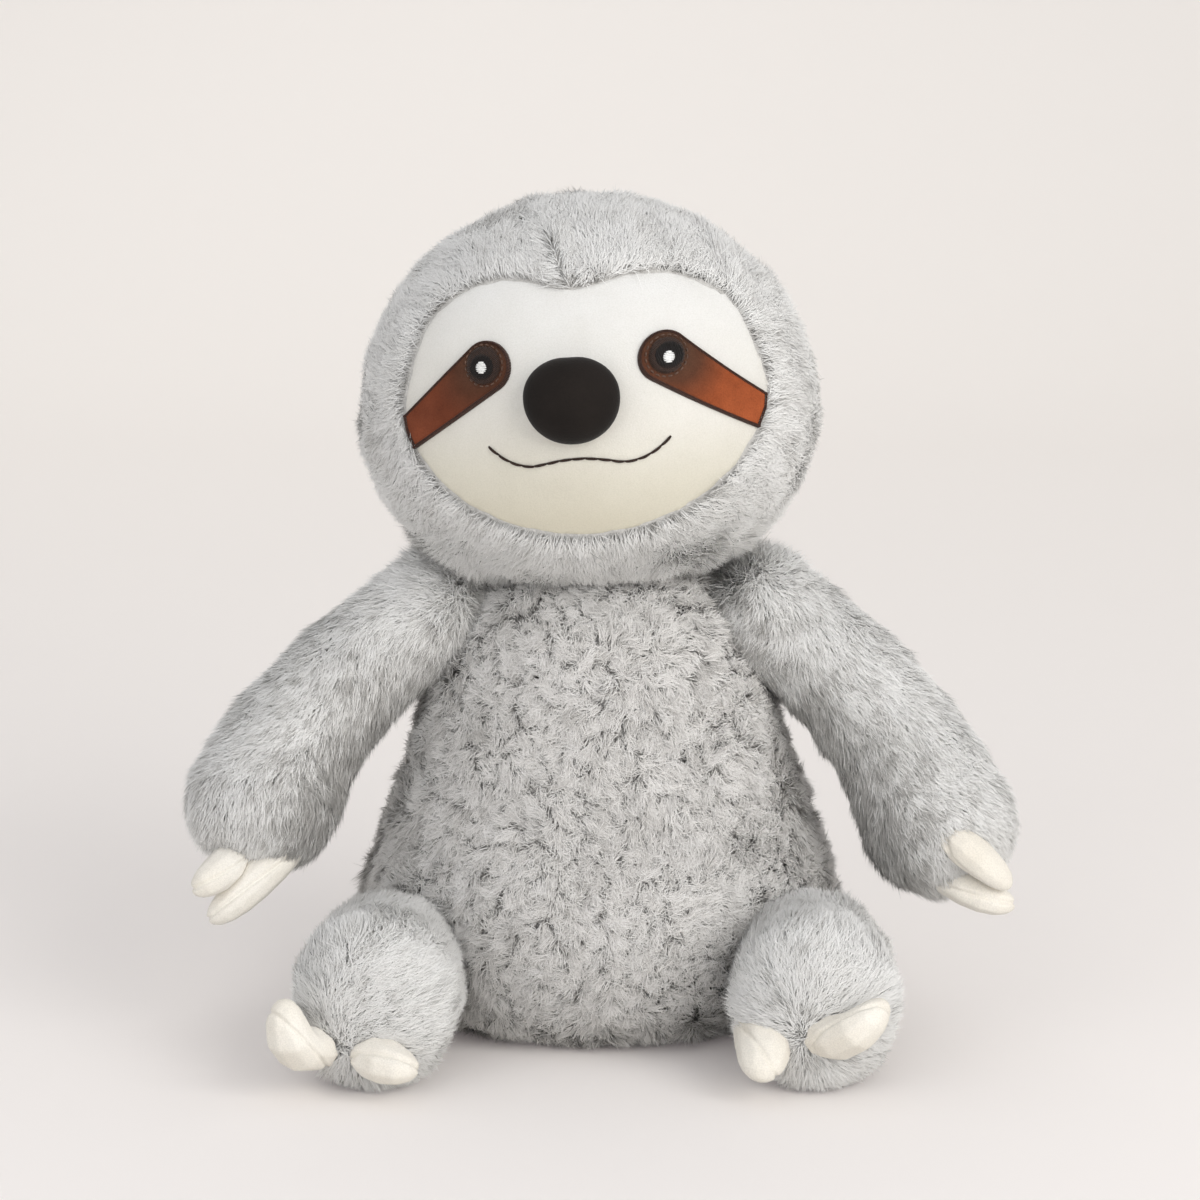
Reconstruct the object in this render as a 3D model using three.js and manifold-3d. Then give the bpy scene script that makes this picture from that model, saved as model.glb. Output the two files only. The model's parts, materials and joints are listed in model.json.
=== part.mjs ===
// A stuffed toy sloth, sitting with its legs forward and its arms hanging outward.
// Millimetres, Z up. The toy faces -Y, and its own left is on +X. The origin is the middle of the
// seat, on the surface that the toy sits on.
import * as THREE from 'three';
import { mergeVertices } from 'three/addons/utils/BufferGeometryUtils.js';
import Module from 'manifold-3d';

const wasm = await Module();
wasm.setup();

// Fits between pieces
const GAP = 0.3;
const OVERRUN = 12;
const FLOOR_CUT = 0.5;

// Plush skin, with its pile pressed down, and the velour of the face
const SKIN_THICKNESS = 4;
const VELOUR_THICKNESS = 2.5;

// Torso
const TORSO_WIDTH = 134;
const TORSO_FRONT_DEPTH = 51;
const TORSO_BACK_DEPTH = 46;
const NECK_HEIGHT = 129.5;
const TORSO_RADIUS_SHARES = [
  0, 0.42, 0.66, 0.8, 0.91, 0.985, 1, 0.935, 0.82, 0.73, 0.67, 0.59, 0.45, 0.3, 0,
];
const TORSO_HEIGHT_SHARES = [
  0, 0, 0.02, 0.05, 0.1, 0.19, 0.28, 0.39, 0.54, 0.7, 0.82, 0.91, 0.98, 1.03, 1.06,
];
const POUCH_WIDTH = 72;
const POUCH_HEIGHT = 34;
const POUCH_SINK = 5;

// Head, whose widest level lies above and ahead of the neck seam
const HEAD_WIDTH = 125;
const HEAD_DEPTH = 98;
const HEAD_UPPER_HEIGHT = 59;
const HEAD_LOWER_HEIGHT = 47;
const HEAD_RISE = 44.5;
const HEAD_FORWARD = 4;
const HEAD_UPPER_POWER = 2;
const HEAD_LOWER_POWER = 2.15;
const NECK_OFFSET = 0.5;
const NECK_OPENING_WIDTH = 38;
const HEAD_TURN = THREE.MathUtils.degToRad(-7);
const HEAD_TILT = THREE.MathUtils.degToRad(-4);

// Face panel, with its swelling round the nose. Its middle lies beside and above the head's
const FACE_SHIFT = 3;
const FACE_LIFT = 6;
const FACE_WIDTH = 98;
const FACE_HEIGHT = 69.3;
const FACE_INSET = 1.5;
const MUZZLE_SWELL = 4;
const MUZZLE_WIDTH = 84;
const MUZZLE_HEIGHT = 56;
const FACE_HALF_OUTLINE_SHARES = [
  [0, 0.91], [0.41, 1], [0.78, 0.78], [0.94, 0.36], [1, 0], [0.92, -0.33], [0.71, -0.67], [0.38, -0.91],
];

// Nose, eyes and mouth
const NOSE_WIDTH = 25.6;
const NOSE_HEIGHT = 23.2;
const NOSE_DEPTH = 17;
const NOSE_LIFT = 4;
const NOSE_SEAT_SHARE = 0.2;
const NOSE_WIDENING_SHARE = 0.05;
const NOSE_POWER = 2.3;
const PATCH_THICKNESS = 1;
const PATCH_RADIUS = 6.6;
const PATCH_OUTER_RADIUS = 4;
const PATCH_SPACING = 46.8;
const PATCH_LIFT = 12.6;
const PATCH_REACH = 26.6;
const PATCH_DROP = 19.7;
const IRIS_RADIUS = 4.3;
const IRIS_SHIFT = 0.3;
const PUPIL_RADIUS = 2.9;
const PUPIL_SHIFT = 1;
const HIGHLIGHT_RADIUS = 1.4;
const STITCH_THICKNESS = 1.2;
const MOUTH_WIDTH = 49;
const MOUTH_HEIGHT = 6.4;
const MOUTH_DROP = 13.8;
const MOUTH_HALF_SHARES = [
  [0, 0.28], [0.18, 0.22], [0.38, 0.06], [0.56, 0], [0.72, 0.14], [0.87, 0.5], [1, 1],
];

// Claws: stuffed velour horns. Each bends along three [outward, forward, upward] places that are
// shares of its limb's width, counted from the middle of the hand or foot
const CLAW_TIP_POWER = 6;
const HAND_CLAW = { rootWidth: 13.5, tipWidth: 11.5, flatShare: 0.85, middleShare: 0.84 };
const FOOT_CLAW = { rootWidth: 17, tipWidth: 14.5, flatShare: 0.82, middleShare: 0.66 };
const LEFT_HAND_CLAW_SHARES = [
  [[-0.2, 0.08, 0.22], [0.09, 0.71, 0.1], [0.49, 0.54, -0.3]],
  [[-0.14, 0.02, -0.13], [0.09, 0.54, -0.35], [0.54, 0.42, -0.47]],
];
const RIGHT_HAND_CLAW_SHARES = [
  [[-0.31, 0.08, -0.13], [-0.08, 0.54, -0.41], [0.36, 0.43, -0.77]],
  [[0.06, 0.08, -0.24], [0.23, 0.66, -0.33], [0.46, 0.54, -0.5]],
];
const LEFT_FOOT_CLAW_SHARES = [
  [[-0.04, -0.08, -0.12], [0.11, 0.56, -0.2], [0.37, 0.4, 0.13]],
  [[-0.3, -0.08, -0.15], [-0.3, 0.4, -0.17], [-0.34, 0.48, -0.33]],
];
const RIGHT_FOOT_CLAW_SHARES = [
  [[0.2, -0.08, -0.17], [0.48, 0.5, -0.33], [0.47, 0.4, 0.14]],
  [[0.02, -0.05, -0.22], [0.0, 0.47, -0.25], [-0.28, 0.42, -0.26]],
];

// Arms: each hangs from a round root at the shoulder and ends in a hand with two claws
const SHOULDER_SPACING = 90;
const SHOULDER_HEIGHT = 117;
const SHOULDER_FORWARD = 2;
const ARM = {
  rootRadius: 17,
  width: 35,
  opening: 20,
  reachOut: 54.5,
  reachForward: 25,
  courseShares: [[0, 0, 0], [0.35, 0.16, 0.18], [0.68, 0.48, 0.46], [0.89, 0.8, 0.75], [1, 1, 1]],
  radiusShares: [[0, 0.94], [0.2, 0.91], [0.45, 0.96], [0.68, 1.1], [0.8, 1.16], [1, 1.16]],
  endShare: 0.8,
  endPower: 2.2,
  widthShare: 1,
  claw: HAND_CLAW,
};
const ARMS = {
  left: { ...ARM, reachDown: 73, clawShares: LEFT_HAND_CLAW_SHARES },
  right: { ...ARM, reachDown: 66, clawShares: RIGHT_HAND_CLAW_SHARES },
};

// Legs: each points forward and outward from a round root at the hip and ends in a foot
const HIP_SPACING = 116;
const HIP_FORWARD = 38.5;
const LEG = {
  rootRadius: 21.5,
  width: 47,
  opening: 25,
  reachForward: 41.5,
  reachDown: 0,
  courseShares: [[0, 0, 0], [0.36, 0.34, 0], [0.7, 0.68, 0], [1, 1, 0]],
  radiusShares: [[0, 0.9], [0.12, 0.87], [0.35, 0.94], [0.62, 1], [0.74, 1], [1, 1]],
  endShare: 0.64,
  endPower: 2.5,
  widthShare: 0.91,
  claw: FOOT_CLAW,
};
const LEGS = {
  left: { ...LEG, reachOut: -0.5, clawShares: LEFT_FOOT_CLAW_SHARES },
  right: { ...LEG, reachOut: 3.5, clawShares: RIGHT_FOOT_CLAW_SHARES },
};

// Fineness of the curved surfaces
const HEAD_SIDES = 28;
const HEAD_RINGS = 17;
const FACE_SIDES = 48;
const FACE_RINGS = 26;
const TORSO_SIDES = 26;
const TORSO_RINGS = 17;
const LINING_SIDES = 16;
const LINING_RINGS = 10;
const LIMB_SIDES = 16;
const LIMB_LINING_SIDES = 12;
const SOCKET_SIDES = 24;
const NOSE_SIDES = 20;
const CLAW_SIDES = 9;
const CLAW_RINGS = 8;
const EDGE_STEPS = 40;
const EYE_STEPS = 18;
const PATCH_STEPS = 9;
const MOUTH_STEPS = 26;
const STITCH_SIDES = 6;
const LIMB_RINGS = { root: 4, length: 5, end: 5 };
const LIMB_LINING_RINGS = { root: 3, length: 3, end: 3 };

// Places that the pieces are built round
const UPWARD = new THREE.Vector3(0, 0, 1);
const headMiddle = new THREE.Vector3(0, -HEAD_FORWARD, HEAD_RISE);
const faceMiddle = headMiddle.clone().add(new THREE.Vector3(FACE_SHIFT, 0, FACE_LIFT));
const neckPlace = new THREE.Vector3(NECK_OFFSET, 0, NECK_HEIGHT);

function shoulderPlace(side) {
  return new THREE.Vector3((side * SHOULDER_SPACING) / 2, -SHOULDER_FORWARD, SHOULDER_HEIGHT);
}

function hipPlace(side) {
  return new THREE.Vector3((side * HIP_SPACING) / 2, -HIP_FORWARD, LEG.width / 2 - FLOOR_CUT);
}

// Materials

function cloth(color, roughness) {
  return new THREE.MeshStandardMaterial({ color, roughness, metalness: 0 });
}

const greyPlush = cloth(0xc4c4c0, 0.95);
const creamVelour = cloth(0xe7e5e0, 0.9);
const brownVelour = cloth(0x7d4427, 0.85);
const darkThread = cloth(0x33211a, 0.75);
const blackVelour = cloth(0x1c1613, 0.7);
const whiteThread = cloth(0xf4f4f2, 0.7);
const whiteFibre = cloth(0xf0efec, 1);
const pelletCloth = cloth(0xd8d2c4, 0.9);

// Solids and geometries

function solidOf(geometry) {
  const bare = geometry.clone();
  bare.deleteAttribute('normal');
  bare.deleteAttribute('uv');
  const shared = mergeVertices(bare);
  const corners = [];
  for (let at = 0; at < shared.index.count; at += 3) {
    const [a, b, c] = [0, 1, 2].map((step) => shared.index.getX(at + step));
    if (a !== b && b !== c && c !== a) corners.push(a, b, c);
  }
  return new wasm.Manifold(new wasm.Mesh({
    numProp: 3,
    vertProperties: new Float32Array(shared.attributes.position.array),
    triVerts: new Uint32Array(corners),
  }));
}

function geometryOf(solid) {
  const mesh = solid.getMesh();
  const geometry = new THREE.BufferGeometry();
  const corners = new Float32Array(mesh.vertProperties);
  geometry.setAttribute('position', new THREE.BufferAttribute(corners, 3));
  geometry.setIndex(new THREE.BufferAttribute(new Uint32Array(mesh.triVerts), 1));
  geometry.computeVertexNormals();
  return geometry;
}

function meshOf(name, solid, material) {
  const mesh = new THREE.Mesh(geometryOf(solid), material);
  mesh.name = name;
  return mesh;
}

// Moves each corner of a geometry to the place that a function gives for it
function reshaped(geometry, place) {
  const corners = geometry.attributes.position;
  const corner = new THREE.Vector3();
  for (let at = 0; at < corners.count; at++) {
    place(corner.fromBufferAttribute(corners, at));
    corners.setXYZ(at, corner.x, corner.y, corner.z);
  }
  return geometry;
}

// A form turned about Z from [radius, height] points, lowest first
function turned(points, sides) {
  const outline = points.map(([radius, height]) => new THREE.Vector2(radius, height));
  return new THREE.LatheGeometry(outline, sides).rotateX(Math.PI / 2);
}

// A faceted ball whose facets all lie outside the radius given, to cut a seat with
function seatBall(radius, centre) {
  const corner = radius / Math.cos(Math.PI / SOCKET_SIDES) ** 2;
  return solidOf(new THREE.SphereGeometry(corner, SOCKET_SIDES, SOCKET_SIDES / 2).translate(...centre));
}

// A rod along Z between two heights
function rodGeometry(radius, low, high, sides) {
  return turned([[0, low], [radius, low], [radius, high], [0, high]], sides);
}

// A block between two heights that is wider than the toy
function slab(low, high) {
  const width = 2 * (TORSO_WIDTH + HEAD_WIDTH);
  return solidOf(new THREE.BoxGeometry(width, width, high - low).translate(0, 0, (low + high) / 2));
}

// Torso form: a pear, deeper at the belly than at the back

function torsoForm(inset, sides, rings) {
  const halfWidth = TORSO_WIDTH / 2;
  const stations = TORSO_RADIUS_SHARES.map((share, at) => new THREE.Vector2(
    share * (halfWidth - inset),
    inset - FLOOR_CUT + TORSO_HEIGHT_SHARES[at] * (NECK_HEIGHT - 2 * inset),
  ));
  const points = new THREE.SplineCurve(stations).getPoints(rings).map(({ x, y }) => [Math.max(0, x), y]);
  points[0][0] = 0;
  points[rings][0] = 0;
  return solidOf(reshaped(turned(points, sides), (corner) => {
    const depth = corner.y < 0 ? TORSO_FRONT_DEPTH : TORSO_BACK_DEPTH;
    corner.y *= (depth - inset) / (halfWidth - inset);
  }));
}

// Head form: a wide rounded ball, fuller below its middle than above it

function fullness(height) {
  return height < 0 ? HEAD_LOWER_POWER : HEAD_UPPER_POWER;
}

// How far the head reaches outward, forward, upward and downward from its middle, sunk by an inset
function headReaches(inset) {
  return [HEAD_WIDTH / 2, HEAD_DEPTH / 2, HEAD_UPPER_HEIGHT, HEAD_LOWER_HEIGHT].map((size) => size - inset);
}

function headForm(inset, swell, sides, rings) {
  const [halfWidth, halfDepth, above, below] = headReaches(inset);
  const points = [];
  for (let ring = 0; ring <= rings; ring++) {
    const angle = Math.PI * (ring / rings - 1 / 2);
    const power = 2 / fullness(angle);
    const pole = ring === 0 || ring === rings;
    const radius = pole ? 0 : halfWidth * Math.cos(angle) ** power;
    const height = Math.abs(Math.sin(angle)) ** power;
    points.push([radius, angle < 0 ? -below * height : above * height]);
  }
  return solidOf(reshaped(turned(points, sides), (corner) => {
    corner.y *= halfDepth / halfWidth;
    if (corner.y < 0) corner.y -= swell * muzzleShare(corner.x - FACE_SHIFT, corner.z - FACE_LIFT);
    corner.add(headMiddle);
  }));
}

// How much of the muzzle's swelling is met at a place on the face: 1 at its middle, 0 at its edge
function muzzleShare(x, z) {
  const away = Math.hypot(x / (MUZZLE_WIDTH / 2), z / (MUZZLE_HEIGHT / 2));
  return away < 1 ? (1 - away ** 2) ** 2 : 0;
}

// Depth of the face's surface, sunk by an inset, at a place seen from the front
function faceDepth(x, z, inset) {
  const [halfWidth, halfDepth, above, below] = headReaches(inset);
  const [across, up] = [x + FACE_SHIFT, z + FACE_LIFT];
  const power = fullness(up);
  const ring = (1 - Math.abs(up / (up < 0 ? below : above)) ** power) ** (1 / power);
  const depth = halfDepth * Math.sqrt(ring ** 2 - (across / halfWidth) ** 2);
  return -depth - MUZZLE_SWELL * muzzleShare(x, z);
}

// A block that runs forward from the middle of the head behind an outline on the face
function faceBlock(shape) {
  const length = HEAD_DEPTH / 2 + OVERRUN;
  const geometry = new THREE.ExtrudeGeometry(shape, { depth: length, bevelEnabled: false });
  return solidOf(geometry.rotateX(Math.PI / 2).translate(...faceMiddle));
}

// A layer that lies on the face between two heights above it
function faceLayer(shape, low, high) {
  const under = headForm(FACE_INSET - low, MUZZLE_SWELL, FACE_SIDES, FACE_RINGS);
  const over = headForm(FACE_INSET - high, MUZZLE_SWELL, FACE_SIDES, FACE_RINGS);
  return over.subtract(under).intersect(faceBlock(shape));
}

// A smooth closed outline through the places given
function smoothShape(places) {
  const through = places.map(([x, z]) => new THREE.Vector3(x, z, 0));
  const curve = new THREE.CatmullRomCurve3(through, true, 'centripetal');
  const corners = curve.getSpacedPoints(EDGE_STEPS).slice(0, -1);
  return new THREE.Shape(corners.map(({ x, y }) => new THREE.Vector2(x, y)));
}

// The face's outline, heart-like above and round below, grown all round by a margin
function faceShape(margin) {
  const [halfWidth, halfHeight] = [FACE_WIDTH / 2 + margin, FACE_HEIGHT / 2 + margin];
  const right = FACE_HALF_OUTLINE_SHARES.map(([x, z]) => [x * halfWidth, z * halfHeight]);
  const left = right.slice(1).reverse().map(([x, z]) => [-x, z]);
  return smoothShape([...right, [0, -halfHeight], ...left]);
}

function roundShape(x, z, radius, steps = EYE_STEPS) {
  const shape = new THREE.Shape();
  shape.absarc(x, z, radius, 0, 2 * Math.PI);
  return new THREE.Shape(shape.getSpacedPoints(steps).slice(0, -1));
}

// Head pieces

function headStuffing() {
  const lining = headForm(SKIN_THICKNESS + GAP, 0, LINING_SIDES, LINING_RINGS);
  const plug = neckRod(NECK_OPENING_WIDTH / 2 - GAP, 0, HEAD_RISE - HEAD_LOWER_HEIGHT + OVERRUN);
  return lining.add(plug).subtract(slab(-OVERRUN, GAP / 2));
}

// A rod at the neck, as oval as the head
function neckRod(radius, low, high) {
  return solidOf(rodGeometry(radius, low, high, LINING_SIDES).scale(1, HEAD_DEPTH / HEAD_WIDTH, 1));
}

function headSkin() {
  const outer = headForm(0, 0, HEAD_SIDES, HEAD_RINGS);
  const lining = headForm(SKIN_THICKNESS, 0, LINING_SIDES, LINING_RINGS);
  return outer
    .subtract(lining)
    .subtract(faceBlock(faceShape(GAP)))
    .subtract(neckRod(NECK_OPENING_WIDTH / 2, -OVERRUN, OVERRUN))
    .subtract(slab(-OVERRUN, GAP / 2));
}

function facePanel() {
  const outer = headForm(FACE_INSET, MUZZLE_SWELL, FACE_SIDES, FACE_RINGS);
  const lining = headForm(FACE_INSET + VELOUR_THICKNESS, 0, LINING_SIDES, LINING_RINGS);
  return outer.subtract(lining).intersect(faceBlock(faceShape(0)));
}

// A cushion that is a little flatter above than below, seated on the face
function nose() {
  const seat = faceDepth(0, NOSE_LIFT, FACE_INSET) - NOSE_SEAT_SHARE * NOSE_DEPTH;
  const geometry = new THREE.SphereGeometry(1, NOSE_SIDES, NOSE_SIDES / 2).rotateX(Math.PI / 2);
  reshaped(geometry, (corner) => {
    const widening = 1 + NOSE_WIDENING_SHARE * corner.z;
    const [across, up] = [Math.abs(corner.x), Math.abs(corner.z)];
    const squared = (across ** NOSE_POWER + up ** NOSE_POWER) ** (1 / NOSE_POWER);
    const fullness = squared > 0 ? Math.hypot(across, up) / squared : 1;
    corner.x *= fullness * widening;
    corner.z *= fullness;
    corner.multiply(new THREE.Vector3(NOSE_WIDTH, NOSE_DEPTH, NOSE_HEIGHT).divideScalar(2));
    corner.add(faceMiddle).add(new THREE.Vector3(0, seat, NOSE_LIFT));
  });
  return solidOf(geometry).subtract(headForm(FACE_INSET - GAP, MUZZLE_SWELL, FACE_SIDES, FACE_RINGS));
}

// Where an eye's round parts lie, moved outward along the patch by a shift
function eyePlace(side, shift) {
  const along = Math.hypot(PATCH_REACH, PATCH_DROP);
  const x = PATCH_SPACING / 2 + (shift * PATCH_REACH) / along;
  return [side * x, PATCH_LIFT - (shift * PATCH_DROP) / along];
}

// A band, round at its inner end, that narrows outward and down to the face's edge
function patchShape(side) {
  const slope = Math.atan2(-PATCH_DROP, PATCH_REACH);
  const reach = Math.hypot(PATCH_REACH, PATCH_DROP);
  const band = new THREE.Shape();
  band.absarc(0, 0, PATCH_RADIUS, Math.PI / 2, (3 * Math.PI) / 2);
  band.lineTo(reach, -PATCH_OUTER_RADIUS);
  band.lineTo(reach, PATCH_OUTER_RADIUS);
  const [x, z] = eyePlace(1, 0);
  const corners = band.getPoints(PATCH_STEPS).map((place) => {
    place.rotateAround(new THREE.Vector2(0, 0), slope);
    return new THREE.Vector2(side * (x + place.x), z + place.y);
  });
  return new THREE.Shape(side < 0 ? corners.reverse() : corners);
}

function eyePatch(side) {
  const layer = faceLayer(patchShape(side), GAP, GAP + PATCH_THICKNESS);
  return layer
    .intersect(faceBlock(faceShape(-GAP)))
    .subtract(faceBlock(roundShape(...eyePlace(side, IRIS_SHIFT), IRIS_RADIUS + GAP)));
}

function eyeRing(side, shift, radius, holeShift, holeRadius) {
  const layer = faceLayer(roundShape(...eyePlace(side, shift), radius), GAP, GAP + PATCH_THICKNESS);
  return layer.subtract(faceBlock(roundShape(...eyePlace(side, holeShift), holeRadius + GAP)));
}

function highlight(side) {
  const shape = roundShape(...eyePlace(side, PUPIL_SHIFT), HIGHLIGHT_RADIUS);
  return faceLayer(shape, GAP, GAP + PATCH_THICKNESS);
}

// The smile: one sewn line that lies on the face
function mouthStitch() {
  const above = STITCH_THICKNESS / 2 + 2 * GAP;
  const place = ([acrossShare, upShare]) => {
    const [x, z] = [(acrossShare * MOUTH_WIDTH) / 2, upShare * MOUTH_HEIGHT - MOUTH_DROP];
    return new THREE.Vector3(x, faceDepth(x, z, FACE_INSET) - above, z).add(faceMiddle);
  };
  const right = MOUTH_HALF_SHARES.map(place);
  const left = MOUTH_HALF_SHARES.slice(1).reverse().map(([across, up]) => place([-across, up]));
  const section = roundShape(0, 0, STITCH_THICKNESS / 2, STITCH_SIDES);
  const extrudePath = new THREE.CatmullRomCurve3([...left, ...right]);
  const settings = { steps: MOUTH_STEPS, extrudePath, bevelEnabled: false };
  const line = new THREE.ExtrudeGeometry(section, settings);
  return solidOf(line).subtract(headForm(FACE_INSET - GAP, MUZZLE_SWELL, FACE_SIDES, FACE_RINGS));
}

function headPieces() {
  const group = new THREE.Group();
  group.add(meshOf('head_skin', headSkin(), greyPlush));
  group.add(meshOf('head_stuffing', headStuffing(), whiteFibre));
  group.add(meshOf('face_panel', facePanel(), creamVelour));
  group.add(meshOf('nose', nose(), blackVelour));
  group.add(meshOf('mouth_stitch', mouthStitch(), darkThread));
  for (const [name, side] of [['left', 1], ['right', -1]]) {
    const iris = eyeRing(side, IRIS_SHIFT, IRIS_RADIUS, PUPIL_SHIFT, PUPIL_RADIUS);
    const pupil = eyeRing(side, PUPIL_SHIFT, PUPIL_RADIUS, PUPIL_SHIFT, HIGHLIGHT_RADIUS);
    group.add(meshOf(`eye_patch_${name}`, eyePatch(side), brownVelour));
    group.add(meshOf(`eye_iris_${name}`, iris, darkThread));
    group.add(meshOf(`eye_pupil_${name}`, pupil, blackVelour));
    group.add(meshOf(`eye_highlight_${name}`, highlight(side), whiteThread));
  }
  group.position.copy(neckPlace);
  group.rotation.set(0, HEAD_TILT, HEAD_TURN);
  return group;
}

// Limbs

function limbCourse(limb, side) {
  const places = limb.courseShares.map(([outward, forward, downward]) => new THREE.Vector3(
    side * outward * limb.reachOut,
    -forward * limb.reachForward,
    -downward * limb.reachDown,
  ));
  return new THREE.CatmullRomCurve3(places);
}

// The radius of a limb at a share of its length, read off a spline through its stations
function limbRadius(limb, share) {
  const stations = limb.radiusShares.map(([at, width]) => new THREE.Vector2(at, width));
  const swelling = new THREE.SplineCurve(stations);
  let [low, high] = [0, 1];
  for (let step = 0; step < EDGE_STEPS; step++) {
    const middle = (low + high) / 2;
    if (swelling.getPoint(middle).x < share) low = middle;
    else high = middle;
  }
  return (swelling.getPoint(low).y * limb.width) / 2;
}

// [radius, distance from the root's middle] along a limb: a round root, a swelling length, a round end
function limbProfile(limb, length, inset, rings) {
  const root = limb.rootRadius - inset;
  const end = length - inset;
  const endStart = limb.endShare * length;
  const endRadius = limbRadius(limb, limb.endShare) - inset;
  const points = [];
  for (let ring = 0; ring <= rings.root; ring++) {
    const angle = (Math.PI / 2) * (ring / rings.root);
    points.push([root * Math.sin(angle), -root * Math.cos(angle)]);
  }
  for (let ring = 1; ring < rings.length; ring++) {
    const share = (ring / rings.length) * limb.endShare;
    points.push([limbRadius(limb, share) - inset, share * length]);
  }
  for (let ring = 0; ring <= rings.end; ring++) {
    const angle = (Math.PI / 2) * (ring / rings.end);
    const radius = ring === rings.end ? 0 : endRadius * Math.cos(angle) ** (2 / limb.endPower);
    points.push([radius, endStart + (end - endStart) * Math.sin(angle) ** (2 / limb.endPower)]);
  }
  return points;
}

// Narrows a form that was turned about Z, more and more from its start to the middle of its length
function narrowed(geometry, widthShare, length) {
  return reshaped(geometry, (corner) => {
    corner.x *= 1 - (1 - widthShare) * THREE.MathUtils.smoothstep(corner.z, 0, length / 2);
  });
}

// Carries a form that was turned about Z along a course without twist, straight on behind its start
function carried(geometry, course) {
  const length = course.getLength();
  const firstAlong = course.getTangentAt(0);
  const firstAcross = new THREE.Vector3().crossVectors(UPWARD, firstAlong).normalize();
  return reshaped(geometry, (corner) => {
    const share = THREE.MathUtils.clamp(corner.z / length, 0, 1);
    const along = course.getTangentAt(share);
    const bend = new THREE.Quaternion().setFromUnitVectors(firstAlong, along);
    const across = firstAcross.clone().applyQuaternion(bend);
    const above = new THREE.Vector3().crossVectors(along, across);
    const place = course.getPointAt(share).addScaledVector(along, corner.z - share * length);
    corner.copy(place.addScaledVector(across, corner.x).addScaledVector(above, corner.y));
  });
}

function limbForm(limb, side, inset, sides, rings) {
  const course = limbCourse(limb, side);
  const length = course.getLength();
  const form = turned(limbProfile(limb, length, inset, rings), sides);
  return solidOf(carried(narrowed(form, limb.widthShare, length), course));
}

// The torso, but for a limb's round seat, as seen from that limb's root
function torsoBeside(limb, place) {
  const torso = torsoForm(-GAP, TORSO_SIDES, TORSO_RINGS).translate(place.clone().negate().toArray());
  return torso.subtract(seatBall(limb.rootRadius, [0, 0, 0]));
}

// A limb's skin is open at its root, where its stuffing meets the torso's
function limbSolids(limb, side, place) {
  const rootward = limbCourse(limb, side).getTangentAt(0).negate();
  const turn = new THREE.Quaternion().setFromUnitVectors(UPWARD, rootward);
  const rootRod = (radius, length) => {
    return solidOf(rodGeometry(radius, 0, length, LIMB_LINING_SIDES).applyQuaternion(turn));
  };
  const radius = limb.opening / 2;
  const plugLength = Math.sqrt(limb.rootRadius ** 2 - radius ** 2);
  const lining = limbForm(limb, side, SKIN_THICKNESS, LIMB_LINING_SIDES, LIMB_LINING_RINGS);
  const filling = limbForm(limb, side, SKIN_THICKNESS + GAP, LIMB_LINING_SIDES, LIMB_LINING_RINGS);
  const skin = limbForm(limb, side, 0, LIMB_SIDES, LIMB_RINGS)
    .subtract(torsoBeside(limb, place))
    .subtract(slab(-OVERRUN - place.z, -place.z))
    .subtract(lining)
    .subtract(rootRod(radius, limb.rootRadius + OVERRUN));
  return { skin, stuffing: filling.add(rootRod(radius - GAP, plugLength)) };
}

// A flattened horn along a course, blunt at its tip and grown all round by a margin
function clawForm(claw, course, margin) {
  const length = course.getLength();
  const points = [[0, 0]];
  for (let ring = 0; ring <= CLAW_RINGS; ring++) {
    const share = Math.sin((Math.PI / 2) * (ring / CLAW_RINGS));
    const taper = THREE.MathUtils.lerp(claw.rootWidth, claw.tipWidth, share) / 2 + margin;
    const roundTip = ring === CLAW_RINGS ? 0 : Math.sqrt(1 - share ** CLAW_TIP_POWER);
    points.push([taper * roundTip, share * (length + margin)]);
  }
  return solidOf(carried(turned(points, CLAW_SIDES).scale(1, claw.flatShare, 1), course));
}

// The claws of a limb, each cut back to its hand or foot and to the claws before it
function clawSolids(limb, side) {
  const middle = limbCourse(limb, side).getPointAt(limb.claw.middleShare);
  const courses = limb.clawShares.map((places) => {
    const [start, bend, tip] = places.map(([outward, forward, upward]) => {
      return new THREE.Vector3(side * outward, -forward, upward).multiplyScalar(limb.width).add(middle);
    });
    return new THREE.QuadraticBezierCurve3(start, bend, tip);
  });
  let taken = limbForm(limb, side, -GAP, LIMB_SIDES, LIMB_RINGS);
  return courses.map((course) => {
    const solid = clawForm(limb.claw, course, 0).subtract(taken);
    taken = taken.add(clawForm(limb.claw, course, GAP));
    return solid;
  });
}

function limbPieces(kind, name, limb, side, place) {
  const group = new THREE.Group();
  const { skin, stuffing } = limbSolids(limb, side, place);
  group.add(meshOf(`${kind}_${name}_skin`, skin, greyPlush));
  group.add(meshOf(`${kind}_${name}_stuffing`, stuffing, whiteFibre));
  clawSolids(limb, side).forEach((solid, at) => {
    group.add(meshOf(`${kind}_${name}_claw_${at + 1}`, solid, creamVelour));
  });
  group.position.copy(place);
  return group;
}

// Torso pieces: the limbs' roots sit in round seats, and the neck seam is level with the tilted head

function torsoTools() {
  const tilt = new THREE.Quaternion().setFromEuler(new THREE.Euler(0, HEAD_TILT, 0));
  const turn = new THREE.Matrix4().compose(neckPlace, tilt, new THREE.Vector3(1, 1, 1));
  const block = new THREE.BoxGeometry(TORSO_WIDTH, TORSO_WIDTH, 2 * OVERRUN);
  const aboveNeck = solidOf(block.translate(0, 0, OVERRUN - GAP / 2).applyMatrix4(turn));
  const seats = [1, -1].flatMap((side) => [
    seatBall(ARM.rootRadius + GAP, shoulderPlace(side)),
    seatBall(LEG.rootRadius + GAP, hipPlace(side)),
  ]);
  return seats.reduce((tools, seat) => tools.add(seat), aboveNeck);
}

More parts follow.
